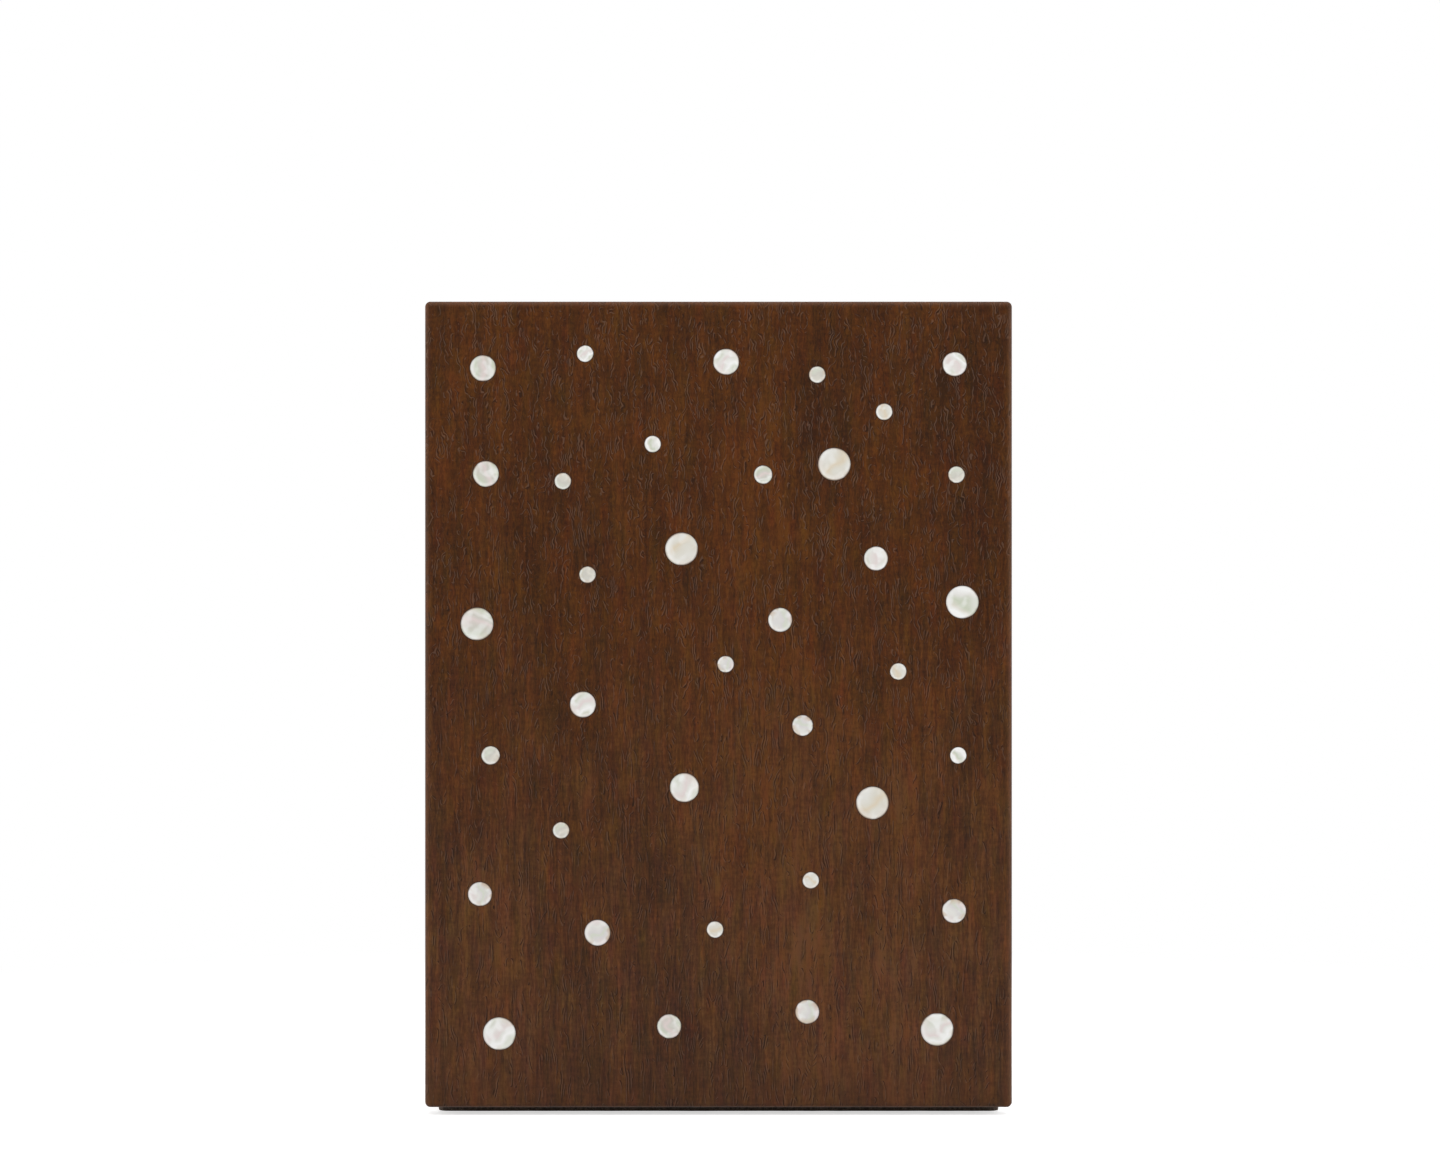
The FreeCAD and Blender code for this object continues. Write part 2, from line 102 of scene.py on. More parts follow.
class Value:  # a socket that can stand in a sum
    def __init__(self, graph, socket):
        self.graph = graph
        self.socket = socket

    def combine(self, operation, first, second=0.0):
        return self.graph.add("ShaderNodeMath", {"operation": operation}, {0: first, 1: second})

    def __add__(self, other):
        return self.combine("ADD", self, other)

    def __radd__(self, other):
        return self.combine("ADD", other, self)

    def __sub__(self, other):
        return self.combine("SUBTRACT", self, other)

    def __rsub__(self, other):
        return self.combine("SUBTRACT", other, self)

    def __mul__(self, other):
        return self.combine("MULTIPLY", self, other)

    def __rmul__(self, other):
        return self.combine("MULTIPLY", other, self)

    def __truediv__(self, other):
        return self.combine("DIVIDE", self, other)

    def __abs__(self):
        return self.combine("ABSOLUTE", self)

    def __round__(self):
        return self.combine("ROUND", self)

    def fraction(self):
        return self.combine("FRACT", self)

    def larger(self, other):
        return self.combine("MAXIMUM", self, other)

    def centred(self):  # noise about 0 instead of about a half
        return self - 0.5

    def rise(self, low, high):  # smooth climb from 0 at low to 1 at high
        return self.graph.add(
            "ShaderNodeMapRange", {"interpolation_type": "SMOOTHSTEP"},
            {"Value": self, "From Min": low, "From Max": high})

    def hump(self, climb, fall):  # up from 0 to 1 over the first span, back to 0 over the second
        return self.rise(*climb) * (1 - self.rise(*fall))


class Graph:
    def __init__(self, tree):
        self.tree = tree
        tree.nodes.clear()

    def add(self, kind, settings=None, inputs=None, output=0):
        node = self.tree.nodes.new(kind)
        for key, setting in (settings or {}).items():
            if key == "stops":
                ramp = node.color_ramp.elements
                while len(ramp) < len(setting):
                    ramp.new(1.0)
                for element, (position, colour) in zip(ramp, setting):
                    element.position = position
                    element.color = colour
            else:
                setattr(node, key, setting)
        for key, given in (inputs or {}).items():
            if isinstance(given, Value):
                self.tree.links.new(given.socket, node.inputs[key])
            else:
                node.inputs[key].default_value = given
        return Value(self, node.outputs[output]) if node.outputs else None

    def place(self):
        return self.add("ShaderNodeTexCoord", {}, {}, "Object")

    def axis(self, vector, name):
        return self.add("ShaderNodeSeparateXYZ", {}, {"Vector": vector}, name)

    def vector(self, operation, *inputs, output=0):
        return self.add(
            "ShaderNodeVectorMath", {"operation": operation}, dict(enumerate(inputs)), output)

    def stretch(self, vector, across, along):  # one unit becomes a grain this size in millimetres
        scale = (1 / (across * millimetre), 1 / (across * millimetre), 1 / (along * millimetre))
        return self.vector("MULTIPLY", vector, scale)

    def noise(self, vector, detail, roughness=0.5, output="Factor"):
        return self.add(
            "ShaderNodeTexNoise", {},
            {"Vector": vector, "Scale": 1.0, "Detail": detail, "Roughness": roughness},
            0 if output == "Factor" else 1)

    def grain(self, vector, across, along, detail, roughness, output="Factor"):
        return self.noise(self.stretch(vector, across, along), detail, roughness, output)

    def ramp(self, factor, stops, palette):  # a stop is a position and the name of a colour
        colours = [(position, palette[tint]) for position, tint in stops]
        return self.add("ShaderNodeValToRGB", {"stops": colours}, {"Fac": factor})

    def blend(self, factor, first, second, kind="MIX"):
        return self.add(
            "ShaderNodeMix", {"data_type": "RGBA", "blend_type": kind},
            {0: factor, 6: first, 7: second}, 2)

    def offset(self, vector, wobble, amounts, strength=1.0):  # moves by noise, in millimetres
        centred = self.vector("SUBTRACT", wobble, (0.5, 0.5, 0.5))
        reach = tuple(amount * millimetre for amount in amounts)
        moved = self.vector("MULTIPLY", centred, reach)
        scaled = self.add(
            "ShaderNodeVectorMath", {"operation": "SCALE"}, {0: moved, "Scale": strength})
        return self.vector("ADD", vector, scaled)

    def relief(self, height, strength, depth):  # depth in millimetres
        return self.add(
            "ShaderNodeBump", {},
            {"Height": height, "Strength": strength, "Distance": depth * millimetre})


def newMaterial(name):
    material = bpy.data.materials.new(name)
    material.use_nodes = True
    return material, Graph(material.node_tree)


def finishMaterial(graph, **sockets):
    shader = graph.add("ShaderNodeBsdfPrincipled", {}, {
        key.replace("_", " "): given for key, given in sockets.items()})
    graph.add("ShaderNodeOutputMaterial", {}, {"Surface": shader})


def coat(names, material):
    for name in names:
        for slot in nodes[name].material_slots:
            slot.material = material


# Dark stained wood with open pores under satin lacquer, with painted shade and painted highlights;
# sizes and heights in millimetres

wood = {
    "dark": paint(53, 31, 18),
    "middle": paint(76, 46, 25),
    "light": paint(98, 61, 33),
    # dark pores, partly painted shade on the shaded side of each groove
    "poreAndShade": paint(37, 22, 14),
    # painted highlight along one side of each pore line
    "paintedGlint": paint(117, 93, 79),
    # paler edge colour: partly wear, partly a painted highlight on the rounded edges
    "wornAndLit": paint(119, 84, 61),
    "upperTint": (0.89, 0.72, 0.34, 1),  # deeper and more orange towards the upper end
    "hueVariation": Vector((0.5, 0.6, 1.2)),
    "tones": [(0.1, "dark"), (0.5, "middle"), (0.9, "light")],
    "meanTone": 0.505,
    "grain": {  # size across and along the board, detail, roughness
        "patches": (24, 34, 1, 0.5),
        "wander": (16, 55, 2, 0.5),
        "ripple": (3, 3.6, 1, 0.5),
        "staves": (30, 220, 1, 0.5),
        "mottle": (11, 19, 3, 0.55),
        "streaks": (2.6, 48, 2, 0.6),
        "fibre": (0.75, 9, 2, 0.6),
        "flecks": (3.2, 1.1, 1, 0.5),
        "grit": (0.5, 1.7, 1, 0.5),
        "hues": (3.5, 16, 3, 0.6),
        "breaks": (1.7, 6.5, 1, 0.5),
    },
    "contrast": {  # how much each grain changes the tone
        "staves": 0.8, "mottle": 0.78, "streaks": 0.84, "fibre": 1.15, "flecks": 0.42, "grit": 0.6},
    "wanderReach": (1.6, 1.6, 0),
    "rippleReach": (2.5, 2.5, 0.7),
    "curlHeights": (60, 260),  # the upper end has the curlier grain
    "curlDrift": 200,
    "lowerCurl": 0.2,
    "tintHeights": (30, 220),
    "tintDrift": 100,
    "paleHeights": ((40, 130), (170, 280)),  # paler half way up
    "paler": 0.05,
    "footHeight": 35,  # painted shade: darker below this, towards the bottom
    "footShade": 0.3,
    "lineAcross": 3.4,  # size of the noise whose level lines the pores follow
    "lineAlong": 12,
    "lines": 7.5,
    "nudge": 0.03,
    "edgeOn": (0.5, 0.8),  # from a board's face to its edges
    "poreBreaks": (0.5, 0.62),
    "upperBreaks": 0.05,
    "poreSpan": ((-0.06, 0.08), (0.2, 0.42)),  # from the line: the dark side of a pore line, partly dark pore and partly painted shade
    "paintedGlintSpan": ((-0.46, -0.26), (-0.12, 0.02)),  # and the side with the painted highlight
    "poreShade": 0.37,
    "streakShade": 0.95,
    "upperShade": 0.17,
    # strength of the painted highlights, more towards the upper end
    "paintedGlintStrength": 0.2,
    "upperPaintedGlint": 0.15,
    "wornAndLitFibre": 0.5,
    "fibreRelief": 0.3,
    "poreRelief": 0.8,
    "paintedGlintRelief": 0.2,
    "reliefStrength": 0.25,
    "reliefDepth": 0.12,
    "roughness": 0.42,
    "fibreRoughness": 0.12,
    "poreRoughness": 0.2,
    "lacquer": 0.03,
    "lacquerRoughness": 0.35,
    "specular": 0.1,  # low, so that the mirrored white doesn't veil the dark wood
}


def woodMaterial(
        name, node, across=(1, 0, 0), turn=(0, 0, 0), shift=(0, 0, 0), band=1.1, wearAndHighlight=0.2):
    material, graph = newMaterial(name)
    grain = wood["grain"]
    place = graph.place()
    local = graph.add(
        "ShaderNodeMapping", {}, {"Vector": place, "Location": shift, "Rotation": turn})
    height = graph.axis(place, "Z") / millimetre
    patches = graph.grain(local, *grain["patches"]).centred()
    upper = (height + wood["curlDrift"] * patches).rise(*wood["curlHeights"])

    wander = graph.grain(local, *grain["wander"], output="Color")
    fibres = graph.offset(local, wander, wood["wanderReach"])
    ripple = graph.grain(local, *grain["ripple"], output="Color")
    curl = wood["lowerCurl"] + (1 - wood["lowerCurl"]) * upper
    curled = graph.offset(fibres, ripple, wood["rippleReach"], curl)

    flows = {
        "staves": local, "mottle": fibres, "streaks": fibres,
        "fibre": curled, "flecks": curled, "grit": curled}
    layers = {layer: graph.grain(flow, *grain[layer]) for layer, flow in flows.items()}
    tone = wood["meanTone"] + wood["paler"] * height.hump(*wood["paleHeights"])
    for layer, noise in layers.items():
        tone = tone + wood["contrast"][layer] * noise.centred()
    colour = graph.ramp(tone, wood["tones"], wood)

    hues = graph.grain(fibres, *grain["hues"], output="Color")
    vary = wood["hueVariation"]
    tint = graph.vector("MULTIPLY_ADD", hues, vary, Vector((1, 1, 1)) - vary / 2)
    colour = graph.vector("MULTIPLY", colour, tint)
    # deeper and more orange towards the upper end
    tinted = (height + wood["tintDrift"] * patches).rise(*wood["tintHeights"])
    colour = graph.blend(tinted, colour, wood["upperTint"], "MULTIPLY")
    # painted shade: the wood darkens towards the bottom
    paintedLowShade = 1 - height.rise(0, wood["footHeight"])
    colour = graph.blend(wood["footShade"] * paintedLowShade, colour, wood["dark"])

    offLine = poreLines(graph, curled, across)
    breaks = graph.grain(curled, *grain["breaks"]) + wood["upperBreaks"] * upper
    broken = breaks.rise(*wood["poreBreaks"])
    # dark pore lines, partly the dark pores and partly painted shade on the side away from the
    # light
    poresAndShade = broken * offLine.hump(*wood["poreSpan"])
    paintedGlints = broken * offLine.hump(*wood["paintedGlintSpan"])
    # the pores are painted less dark towards the upper end, where the light falls
    poreShade = (
        wood["poreShade"] + wood["streakShade"] * layers["streaks"] - wood["upperShade"] * upper)
    colour = graph.blend(poresAndShade * poreShade, colour, wood["poreAndShade"])
    # painted highlights beside the pore lines
    paintedGlintStrength = wood["paintedGlintStrength"] + wood["upperPaintedGlint"] * upper
    colour = graph.blend(paintedGlints * paintedGlintStrength, colour, wood["paintedGlint"])

    fibre = layers["fibre"]
    # paler edges, partly wear and partly a painted highlight; the lowest edges get none
    wornAndLit = wearAndHighlight * edgeWearAndHighlight(graph, place, node, band)
    colour = graph.blend(wornAndLit * (wood["wornAndLitFibre"] + fibre), colour, wood["wornAndLit"])
    relief = (
        wood["fibreRelief"] * fibre - wood["poreRelief"] * poresAndShade + wood["paintedGlintRelief"] * paintedGlints)
    roughness = (
        wood["roughness"] + wood["fibreRoughness"] * fibre + wood["poreRoughness"] * poresAndShade)
    finishMaterial(
        graph, Base_Color=colour, Roughness=roughness,
        Normal=graph.relief(relief, wood["reliefStrength"], wood["reliefDepth"]),
        Coat_Weight=wood["lacquer"], Coat_Roughness=wood["lacquerRoughness"],
        Specular_IOR_Level=wood["specular"])
    return material


def poreLines(graph, curled, across):  # millimetres from the nearest level line of a noise
    lineSpace = graph.stretch(curled, wood["lineAcross"], wood["lineAlong"])
    level = wood["lines"] * graph.noise(lineSpace, 0)
    slopes = []
    for heading in (across, (1 - across[0], 1 - across[1], 0)):
        nudge = tuple(wood["nudge"] * part for part in heading)
        climb = wood["lines"] * graph.noise(graph.vector("ADD", lineSpace, nudge), 0) - level
        slopes.append(climb / (wood["nudge"] * wood["lineAcross"]))
    facing = graph.add("ShaderNodeTexCoord", {}, {}, "Normal")
    onEdge = abs(graph.vector("DOT_PRODUCT", facing, across, output="Value"))
    slope = slopes[0] + onEdge.rise(*wood["edgeOn"]) * (slopes[1] - slopes[0])
    return (level - round(level)) / slope


def edgeWearAndHighlight(graph, place, node, width):  # 1 on the edges of the board's box, but for the lowest: where wear and a painted highlight lie
    low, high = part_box(node)
    band = width * millimetre
    nearness = []
    for axis, name in enumerate("XYZ"):
        half = (high[axis] - low[axis]) / 2
        fromMiddle = graph.axis(place, name) - (high[axis] + low[axis]) / 2
        if name != "Z":
            fromMiddle = abs(fromMiddle)
        nearness.append(fromMiddle.rise(half - band, half))
    x, y, z = nearness
    return (x * y).larger(y * z).larger(z * x)


boards = {  # lie and start of the grain, width of the worn and lit edges and the strength of their wear and painted highlight
    "lid_panel": {"band": 3.0, "wearAndHighlight": 0.22},
    "left_side": {"across": (0, 1, 0), "shift": (0.4, 0.1, 0.7)},
    "right_side": {"across": (0, 1, 0), "shift": (0.9, 0.3, 0.2)},
    "top_panel": {"across": (0, 1, 0), "turn": (0, quarter, 0), "shift": (0.2, 0.7, 1.3)},
    "bottom_panel": {"across": (0, 1, 0), "turn": (0, quarter, 0), "shift": (1.2, 0.5, 0.6)},
    "back_panel": {"shift": (1.6, 0.9, 0.4)},
}
for boardName, boardLook in boards.items():
    coat([boardName], woodMaterial(f"wood_{boardName}", boardName, **boardLook))
coat(["mitre_splines"], nodes["left_side"].material_slots[0].material)
print("wood finished")


# Mother-of-pearl discs; spans are shares of a disc's radius or of a noise

pearl = {
    "white": paint(248, 248, 246),
    "pale": paint(229, 228, 222),
    "mist": paint(219, 216, 214),
    "cream": paint(222, 218, 206),
    "grey": paint(206, 203, 193),
    "moss": paint(201, 208, 187),
    "sage": paint(213, 217, 202),
    "rose": paint(223, 209, 205),
    "blush": paint(227, 215, 212),
    "beige": paint(221, 208, 184),
    "amber": paint(188, 156, 112),
    # brown rim colour: partly the shell's own edge, partly painted shade at the rim
    "fringe": paint(128, 96, 70),
    "swirlSize": 1.2,
    "lobeSize": 0.75,
    "softNoise": (1, 0.4),  # detail, roughness
    "ridges": (900, 90, 2, 0.6),  # thousandths of the radius across and along, detail, roughness
    "gleamSpan": (0.5, 0.68),
    # painted highlight round the rim of each disc, brighter on the side towards the light
    "rimHighlightSpan": ((0.6, 0.84), (0.88, 1.0)),
    "rimHighlightStrength": 0.3,
    "litSideHighlight": 0.25,
    "toLight": Vector((-0.8, 0, -0.6)),  # the side of a disc whose painted rim highlight is brighter
    "amberSpan": (0.48, 0.64),
    "amberReach": (0.45, 1.0),
    "fringeReach": (0.9, 1.0),
    "fringeSpan": (0.4, 0.6),
    "fringeShade": 0.35,
    "agedFringe": 0.5,
    "reliefStrength": 0.05,
    "reliefDepth": 0.05,
    "roughness": 0.18,
    "ridgeRoughness": 0.14,
    "coat": 0.3,
    "coatRoughness": 0.12,
    "specular": 0.5,
}
shellKinds = {  # layers from one band to the next, how often they return, white lobes, amber rims
    "cloudy": {
        "layers": [
            (0, "rose"), (0.2, "grey"), (0.42, "moss"), (0.62, "pale"), (0.8, "grey"), (1, "rose")],
        "turns": 1.3, "gleam": 0.45, "amber": 0.2},
    "bright": {
        "layers": [
            (0, "blush"), (0.25, "pale"), (0.45, "sage"), (0.68, "white"), (0.86, "pale"),
            (1, "blush")],
        "turns": 1.2, "gleam": 0.7, "amber": 0.2},
    "warm": {
        "layers": [(0, "beige"), (0.2, "cream"), (0.5, "pale"), (0.8, "cream"), (1, "beige")],
        "turns": 1.0, "gleam": 0.35, "amber": 0.25},
    "cool": {
        "layers": [
            (0, "mist"), (0.25, "pale"), (0.5, "blush"), (0.72, "mist"), (0.88, "sage"),
            (1, "mist")],
        "turns": 1.0, "gleam": 0.4, "amber": 0.6},
    "silky": {
        "layers": [
            (0, "moss"), (0.14, "cream"), (0.32, "white"), (0.6, "white"), (0.8, "pale"),
            (1, "moss")],
        "turns": 1.2, "gleam": 0.5, "amber": 0.1},
    "grey": {
        "layers": [(0, "grey"), (0.3, "sage"), (0.5, "grey"), (0.78, "cream"), (1, "grey")],
        "turns": 0.9, "gleam": 0.15, "amber": 0.4},
}
shellCuts = [  # kind of shell and lie of its band in degrees, from the upper left disc on
    ("cloudy", 85), ("bright", 40), ("bright", 60), ("grey", 20), ("bright", 140), ("warm", 100),
    ("silky", 98), ("cloudy", 110), ("grey", 150), ("cloudy", 10), ("warm", 62), ("grey", 30),
    ("warm", 45), ("bright", 75), ("grey", 80), ("silky", 145), ("cloudy", 165), ("cool", 120),
    ("cool", 70), ("warm", 115), ("bright", 25), ("cool", 160), ("grey", 55), ("silky", 130),
    ("bright", 58), ("warm", 47), ("grey", 5), ("warm", 140), ("cool", 95), ("cool", 130),
    ("cool", 35), ("warm", 15), ("cool", 85), ("cloudy", 125), ("bright", 15), ("bright", 50),
]


def pearlMaterial(name, kind, lie):
    look = shellKinds[kind]
    low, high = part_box(name)
    radius = (high.x - low.x) / 2
    material, graph = newMaterial(f"shell_{name}")
    place = graph.place()
    disc = graph.add(  # centred on the disc, turned to its band, in radii
        "ShaderNodeMapping", {"vector_type": "TEXTURE"},
        {"Vector": place, "Location": (low + high) / 2, "Rotation": (0, -math.radians(lie), 0),
         "Scale": (radius, radius, radius)})
    broad = pearl["swirlSize"] * radius / millimetre
    small = pearl["lobeSize"] * radius / millimetre
    swirl = graph.grain(place, broad, broad, *pearl["softNoise"])
    lobes = graph.grain(place, small, small, *pearl["softNoise"], output="Color")
    shine = graph.add("ShaderNodeSeparateColor", {}, {"Color": lobes}, "Green")
    aged = graph.add("ShaderNodeSeparateColor", {}, {"Color": lobes}, "Blue")
    ridges = graph.grain(disc, *pearl["ridges"])
    fromCentre = graph.vector(
        "LENGTH", graph.vector("MULTIPLY", disc, (1, 0, 1)), output="Value")

    layer = (look["turns"] / 2 * graph.axis(disc, "Z") + swirl.centred()).fraction()
    colour = graph.ramp(layer, look["layers"], pearl)
    colour = graph.blend(look["gleam"] * shine.rise(*pearl["gleamSpan"]), colour, pearl["white"])
    reach = graph.vector("DOT_PRODUCT", place, pearl["toLight"], output="Value")
    lit = (reach - (low + high).dot(pearl["toLight"]) / 2) / radius
    # painted highlight round the rim, stronger on the side towards the light
    rimHighlight = fromCentre.hump(*pearl["rimHighlightSpan"])
    colour = graph.blend(
        rimHighlight * (pearl["rimHighlightStrength"] + pearl["litSideHighlight"] * lit), colour, pearl["white"])
    amber = aged.rise(*pearl["amberSpan"]) * fromCentre.rise(*pearl["amberReach"])
    colour = graph.blend(look["amber"] * amber, colour, pearl["amber"])
    # darker brown rim, partly the shell's own edge colour and partly painted shade
    fringeShade = pearl["fringeShade"] + pearl["agedFringe"] * aged.rise(*pearl["fringeSpan"])
    colour = graph.blend(
        fromCentre.rise(*pearl["fringeReach"]) * fringeShade, colour, pearl["fringe"])
    finishMaterial(
        graph, Base_Color=colour,
        Roughness=pearl["roughness"] + pearl["ridgeRoughness"] * ridges,
        Normal=graph.relief(ridges, pearl["reliefStrength"], pearl["reliefDepth"]),
        Coat_Weight=pearl["coat"], Coat_Roughness=pearl["coatRoughness"],
        Specular_IOR_Level=pearl["specular"])
    return material


discs = sorted(name for name in nodes if name.startswith("pearl_disc"))
for discName, (shellKind, bandLie) in zip(discs, shellCuts):
    coat([discName], pearlMaterial(discName, shellKind, bandLie))
print("pearl finished on", len(discs), "discs")


# Dark filler in the glue line round each disc, in millimetres

filler = {
    "colour": paint(24, 16, 12),
    "width": 0.25,
    "depth": 0.5,
    "sink": 0.03,
    "corners": 72,
    "grit": (0.4, 0.4, 2, 0.6),  # size across and along, detail, roughness
    "dust": 0.7,
    "roughness": 0.4,
    "gritRoughness": 0.3,
    "specular": 0.3,
}


def deselect():
    if bpy.context.mode != "OBJECT":
        bpy.ops.object.mode_set(mode="OBJECT")
    bpy.ops.object.select_all(action="DESELECT")


def fillerRings():
    deselect()
    piece = None
    for name in discs:
        low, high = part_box(name)
        centre = (low + high) / 2
        inner = (high.x - low.x) / 2
        outer = inner + filler["width"] * millimetre
        face = low.y + filler["sink"] * millimetre
        bpy.ops.mesh.primitive_circle_add(
            vertices=filler["corners"], radius=inner, location=(centre.x, face, centre.z),
            rotation=(quarter, 0, 0))
        if piece is None:
            piece = bpy.context.object
            bpy.ops.object.transform_apply(location=True, rotation=True, scale=True)
            bpy.ops.object.mode_set(mode="EDIT")
            bpy.ops.mesh.select_all(action="SELECT")
        bpy.ops.mesh.extrude_edges_move()
        growth = outer / inner
        bpy.ops.transform.resize(
            value=(growth, growth, growth), center_override=(centre.x, face, centre.z))
        bpy.ops.mesh.select_linked()
        bpy.ops.mesh.extrude_region_move(
            TRANSFORM_OT_translate={"value": (0, filler["depth"] * millimetre, 0)})
        bpy.ops.mesh.select_all(action="DESELECT")
    bpy.ops.mesh.select_all(action="SELECT")
    bpy.ops.mesh.normals_make_consistent(inside=False)
    bpy.ops.object.mode_set(mode="OBJECT")
    piece.name = "pearl_filler"
    return piece


def fillerMaterial():
    material, graph = newMaterial("filler_resin")
    grit = graph.grain(graph.place(), *filler["grit"])
    finishMaterial(
        graph, Base_Color=graph.blend(filler["dust"] * grit, filler["colour"], wood["dark"]),
        Roughness=filler["roughness"] + filler["gritRoughness"] * grit,
        Specular_IOR_Level=filler["specular"])
    return material


rings = fillerRings()
rings.data.materials.append(fillerMaterial())
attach(rings, "lid")
print("filler rings:", len(rings.data.polygons), "faces")


# Felt: the lining sheets and the pad under the case, in millimetres and degrees

felt = {
    "lining": paint(92, 26, 28),
    "liningShade": paint(52, 12, 16),
    "pad": paint(100, 87, 78),
    "padShade": paint(66, 56, 50),
    "padCorner": 4.0,
    "cornerSegments": 6,
    "padSpacing": 5.0,
    "spacing": 3.0,
    "rim": 0.3,
    "rimSegments": 2,
    "rimAngle": 60,
    "smoothAngle": 50,
    "unevenness": 0.12,
    "lumpSize": 6.0,
    "tufts": (1.1, 1.1, 3, 0.65),  # size across and along, detail, roughness
    "clouds": (14, 14, 2, 0.5),
    "hairs": (0.25, 0.9, 2, 0.6),
    "shares": {"tufts": 0.55, "clouds": 0.25, "hairs": 0.2},  # in the colour
    "toneSpan": (0.36, 0.62),
    "tuftRelief": 0.6,
    "hairRelief": 0.4,
    "reliefStrength": 0.6,
    "reliefDepth": 0.3,
    "roughness": 0.95,
    "hairGloss": 0.1,
    "sheen": 0.1,
    "sheenRoughness": 0.4,
    "specular": 0.1,
}


def feltMaterial(name, colour, shade):
    material, graph = newMaterial(name)
    place = graph.place()
    tufts = graph.grain(place, *felt["tufts"])
    clouds = graph.grain(place, *felt["clouds"])
    hairs = graph.grain(place, *felt["hairs"])
    shares = felt["shares"]
    mixed = shares["tufts"] * tufts + shares["clouds"] * clouds + shares["hairs"] * hairs
    relief = felt["tuftRelief"] * tufts + felt["hairRelief"] * hairs
    finishMaterial(
        graph, Base_Color=graph.blend(mixed.rise(*felt["toneSpan"]), shade, colour),
        Roughness=felt["roughness"] - felt["hairGloss"] * hairs,
        Normal=graph.relief(relief, felt["reliefStrength"], felt["reliefDepth"]),
        Sheen_Weight=felt["sheen"], Sheen_Roughness=felt["sheenRoughness"], Sheen_Tint=colour,
        Specular_IOR_Level=felt["specular"])
    return material


def feltSheet(name, node, thinAxis, spacing, corner=0.0):
    low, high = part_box(node)
    size = high - low
    wide, long = [axis for axis in range(3) if axis != thinAxis]
    step = spacing * millimetre
    deselect()
    bpy.ops.mesh.primitive_grid_add(
        x_subdivisions=round(size[wide] / step), y_subdivisions=round(size[long] / step), size=1)
    piece = bpy.context.object
    piece.name = name
    bpy.ops.object.mode_set(mode="EDIT")
    bpy.ops.mesh.select_all(action="SELECT")
    bpy.ops.transform.resize(value=(size[wide], size[long], 1))
    turns = {0: ("X", "Z"), 1: ("X",), 2: ()}[thinAxis]
    for turn in turns:
        bpy.ops.transform.rotate(value=-quarter, orient_axis=turn, center_override=(0, 0, 0))
    bpy.ops.transform.translate(value=(low + high) / 2)
    bpy.ops.object.mode_set(mode="OBJECT")
    if corner:
        roundCorners(piece, low, high, (wide, long), corner * millimetre)
    addModifier(piece, "SOLIDIFY", thickness=size[thinAxis], offset=0.0)
    addModifier(
        piece, "BEVEL", width=felt["rim"] * millimetre, segments=felt["rimSegments"],
        limit_method="ANGLE", angle_limit=math.radians(felt["rimAngle"]))
    lumps = bpy.data.textures.new(f"{name}_lumps", "CLOUDS")
    lumps.noise_scale = felt["lumpSize"] * millimetre
    addModifier(
        piece, "DISPLACE", texture=lumps, texture_coords="LOCAL", mid_level=1.0,
        strength=felt["unevenness"] * millimetre)  # a mid level of 1 only ever presses inwards
    bpy.ops.object.shade_smooth_by_angle(angle=math.radians(felt["smoothAngle"]))
    return piece, (size[wide], size[long])


def roundCorners(piece, low, high, axes, radius):
    bpy.ops.object.mode_set(mode="EDIT")
    bpy.ops.mesh.select_mode(type="VERT")
    bpy.ops.mesh.select_all(action="DESELECT")
    bpy.ops.object.mode_set(mode="OBJECT")
    near = 0.1 * millimetre
    for vertex in piece.data.vertices:
        vertex.select = all(
            min(vertex.co[axis] - low[axis], high[axis] - vertex.co[axis]) < near for axis in axes)
    bpy.ops.object.mode_set(mode="EDIT")
    bpy.ops.mesh.bevel(offset=radius, segments=felt["cornerSegments"], affect="VERTICES")
    bpy.ops.object.mode_set(mode="OBJECT")


def addModifier(piece, kind, **settings):
    modifier = piece.modifiers.new(kind.lower(), kind)
    for key, setting in settings.items():
        setattr(modifier, key, setting)
    bpy.context.view_layer.objects.active = piece
    bpy.ops.object.modifier_apply(modifier=modifier.name)


liningMaterial = feltMaterial("lining_felt", felt["lining"], felt["liningShade"])
linings = {  # the axis of the thickness, and the board behind
    "left_lining": (0, "left_side"),
    "right_lining": (0, "right_side"),
    "back_lining": (1, "back_panel"),
    "top_lining": (2, "top_panel"),
    "bottom_lining": (2, "bottom_panel"),
}
for liningNode, (thinAxis, carrier) in linings.items():
    lining, flatSize = feltSheet(f"{liningNode}_felt", liningNode, thinAxis, felt["spacing"])
    lining.data.materials.append(liningMaterial)
    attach(lining, "case")
    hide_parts(liningNode)

pad, padSize = feltSheet("base_pad_felt", "base_pad", 2, felt["padSpacing"], felt["padCorner"])
pad.data.materials.append(feltMaterial("pad_felt", felt["pad"], felt["padShade"]))
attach(pad, "case")
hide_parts("base_pad")
print("felt laid")


# Brass hinges and screws, nickel magnets

metal = {
    "brass": paint(196, 158, 92),
    "tarnish": paint(120, 88, 48),
    "brassRoughness": 0.34,
    "nickel": paint(196, 194, 190),
    "nickelShade": paint(128, 126, 124),
    "nickelRoughness": 0.24,
    "blotches": (3, 3, 3, 0.6),  # size across and along in millimetres, detail, roughness
    "scratches": (0.12, 4, 2, 0.6),
    "filmSpan": (0.4, 0.7),
    "filmShade": 0.55,
    "metallic": 0.8,
    "filmedMetallic": 0.35,
    "blotchRoughness": 0.25,
    "blotchMiddle": 0.4,
    "reliefStrength": 0.12,
    "reliefDepth": 0.04,
}


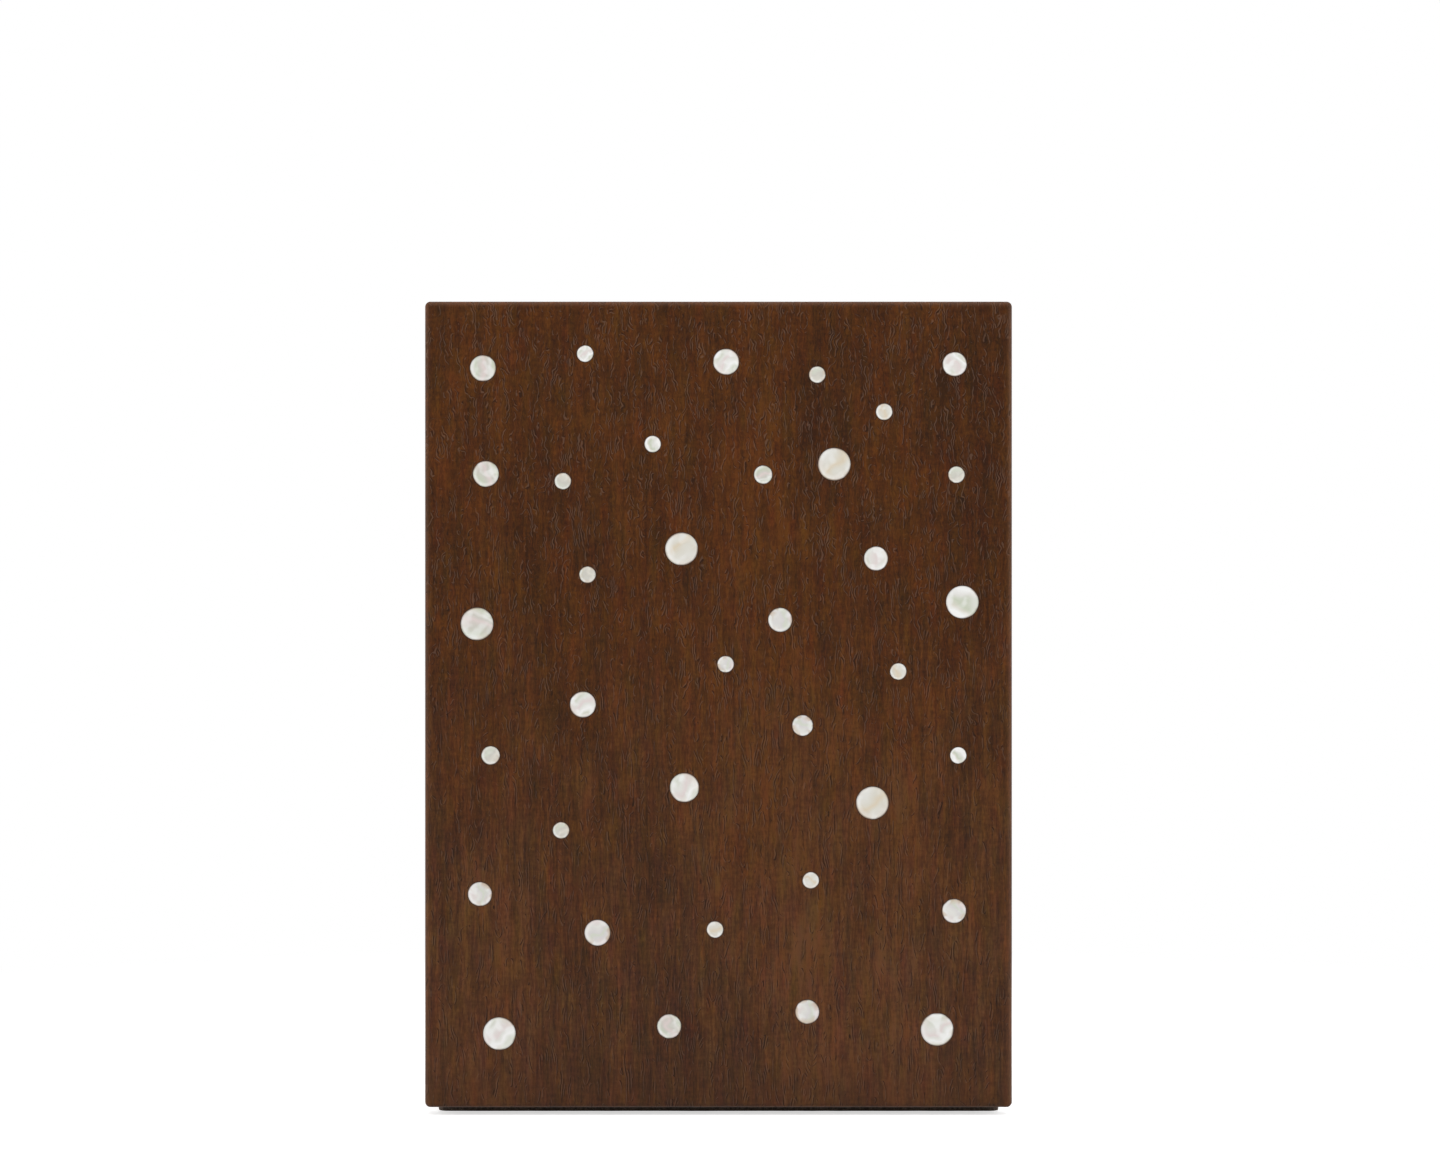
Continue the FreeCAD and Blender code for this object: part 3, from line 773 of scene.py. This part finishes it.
def metalMaterial(name, bright, dull, roughness):
    material, graph = newMaterial(name)
    place = graph.place()
    blotches = graph.grain(place, *metal["blotches"])
    scratches = graph.grain(place, *metal["scratches"])
    film = blotches.rise(*metal["filmSpan"])
    finishMaterial(
        graph, Base_Color=graph.blend(metal["filmShade"] * film, bright, dull),
        Metallic=metal["metallic"] - metal["filmedMetallic"] * film,
        Roughness=roughness + metal["blotchRoughness"] * (blotches - metal["blotchMiddle"]),
        Normal=graph.relief(scratches, metal["reliefStrength"], metal["reliefDepth"]))
    return material


brassNodes = [name for name in nodes if "_hinge_" in name or name.startswith("hinge_")]
coat(brassNodes, metalMaterial(
    "brass_satin", metal["brass"], metal["tarnish"], metal["brassRoughness"]))
coat(["case_magnets", "lid_magnets"], metalMaterial(
    "nickel", metal["nickel"], metal["nickelShade"], metal["nickelRoughness"]))
print("metal finished on", len(brassNodes), "brass nodes")


# Camera, at the height and distance of the photograph's level view

view = {
    "distance": 1.4978,
    "lens": 100,
    "sensor": 36,
    "pixelWide": 0.375,  # millimetres of the lid's face in one pixel of the 1440 by 1152 frame
    "middleX": 720,
    "middleY": 576,
    "lidMiddleX": 718.5,
    "lidBottomY": 1107,
}
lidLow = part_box("lid_panel")[0]
pixel = view["pixelWide"] * millimetre
deselect()
bpy.ops.object.camera_add(
    location=(
        (view["middleX"] - view["lidMiddleX"]) * pixel,
        lidLow.y - view["distance"],
        lidLow.z + (view["lidBottomY"] - view["middleY"]) * pixel),
    rotation=(quarter, 0, 0))
camera = bpy.context.object
camera.data.lens = view["lens"]
camera.data.sensor_width = view["sensor"]
bpy.context.scene.camera = camera


# White floor, soft lamps and a white surround

floorLook = {
    "size": 30,
    "near": 0.25,  # between these metres from the middle the lit floor gives way to plain white
    "far": 0.6,
    "white": 0.85,
    "glow": 0.6,
    "bounced": 0.68,  # its grey where it only lights the box
}
lamps = {
    "leftLamp": {"place": (-2.0, -0.5, 0.6), "size": 2.0, "power": 24.6},
    "rightLamp": {"place": (2.0, -0.5, 0.6), "size": 2.0, "power": 26.4},
    "topLamp": {"place": (0.1, -0.6, 2.0), "size": 2.0, "power": 20.2},
    "backLamp": {"place": (0.4, 1.8, 1.2), "size": 1.4, "power": 10.6},
}
surround = {"level": 0.5}  # its light on the box; where it is seen or mirrored it is white


def seenRays(graph):  # 1 where the camera, or a mirroring or clear surface, looks
    kinds = ("Is Camera Ray", "Is Transmission Ray", "Is Glossy Ray")
    direct, through, mirrored = [graph.add("ShaderNodeLightPath", {}, {}, kind) for kind in kinds]
    return direct.larger(through).larger(mirrored)


def addFloor():
    deselect()
    bpy.ops.mesh.primitive_plane_add(size=floorLook["size"])
    floor = bpy.context.object
    floor.name = "floor"
    material, graph = newMaterial("white_floor")
    distance = graph.vector("LENGTH", graph.place(), output="Value")
    lit = graph.add("ShaderNodeBsdfDiffuse", {}, {"Color": grey(floorLook["white"])})
    glow = graph.add("ShaderNodeEmission", {}, {"Strength": floorLook["glow"]})
    shadowed = graph.add("ShaderNodeAddShader", {}, {0: lit, 1: glow})
    plain = graph.add("ShaderNodeEmission", {}, {"Strength": 1.0})
    shown = graph.add(
        "ShaderNodeMixShader", {},
        {0: distance.rise(floorLook["near"], floorLook["far"]), 1: shadowed, 2: plain})
    bounced = graph.add("ShaderNodeBsdfDiffuse", {}, {"Color": grey(floorLook["bounced"])})
    surface = graph.add("ShaderNodeMixShader", {}, {0: seenRays(graph), 1: bounced, 2: shown})
    graph.add("ShaderNodeOutputMaterial", {}, {"Surface": surface})
    floor.data.materials.append(material)
    floor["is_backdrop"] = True


def addLamps():
    target = (cadLow + cadHigh) / 2
    for name, lamp in lamps.items():
        deselect()
        bpy.ops.object.light_add(type="AREA", location=lamp["place"])
        light = bpy.context.object
        light.name = name
        light.data.size = lamp["size"]
        light.data.energy = lamp["power"]
        aim = target - Vector(lamp["place"])
        light.rotation_euler = aim.to_track_quat("-Z", "Y").to_euler()


def addSurround():
    world = bpy.data.worlds.new("white_surround")
    world.use_nodes = True
    bpy.context.scene.world = world
    graph = Graph(world.node_tree)
    seen = seenRays(graph)
    strength = seen + (1 - seen) * surround["level"]
    sky = graph.add("ShaderNodeBackground", {}, {"Color": grey(1.0), "Strength": strength})
    graph.add("ShaderNodeOutputWorld", {}, {"Surface": sky})


addFloor()
addLamps()
addSurround()
print("stage set")

low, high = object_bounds()
{"cad": [list(cadLow), list(cadHigh)], "visual": [list(low), list(high)]}
